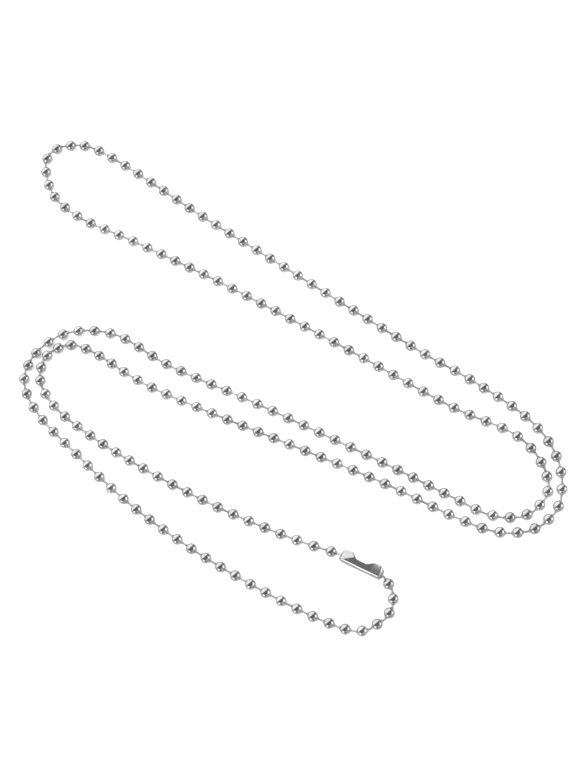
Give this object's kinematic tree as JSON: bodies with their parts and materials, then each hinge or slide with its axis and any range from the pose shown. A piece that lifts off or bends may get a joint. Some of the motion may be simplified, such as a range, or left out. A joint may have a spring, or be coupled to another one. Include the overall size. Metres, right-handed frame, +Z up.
{
  "type": "ball chain necklace",
  "caption": "Ball chain necklace: hollow drilled metal balls on short wire links, closed by a folded sheet-metal clasp, lying flat in three long lobes.",
  "frame": {"origin": "centre of the lying chain's footprint, on the surface that it lies on", "axes": "+X along the three lobes, +Y across them from the clasp's lobe to the far lobe, +Z up"},
  "size_m": [0.1414, 0.0648, 0.0031],
  "materials": {
    "ball_metal": "polished nickel-plated steel",
    "wire_metal": "bright drawn steel wire",
    "clasp_metal": "polished nickel-plated sheet"
  },
  "bodies": {
    "root": {"balls": "ball_metal", "link_wire": "wire_metal", "clasp": "clasp_metal"}
  },
  "joints": []
}
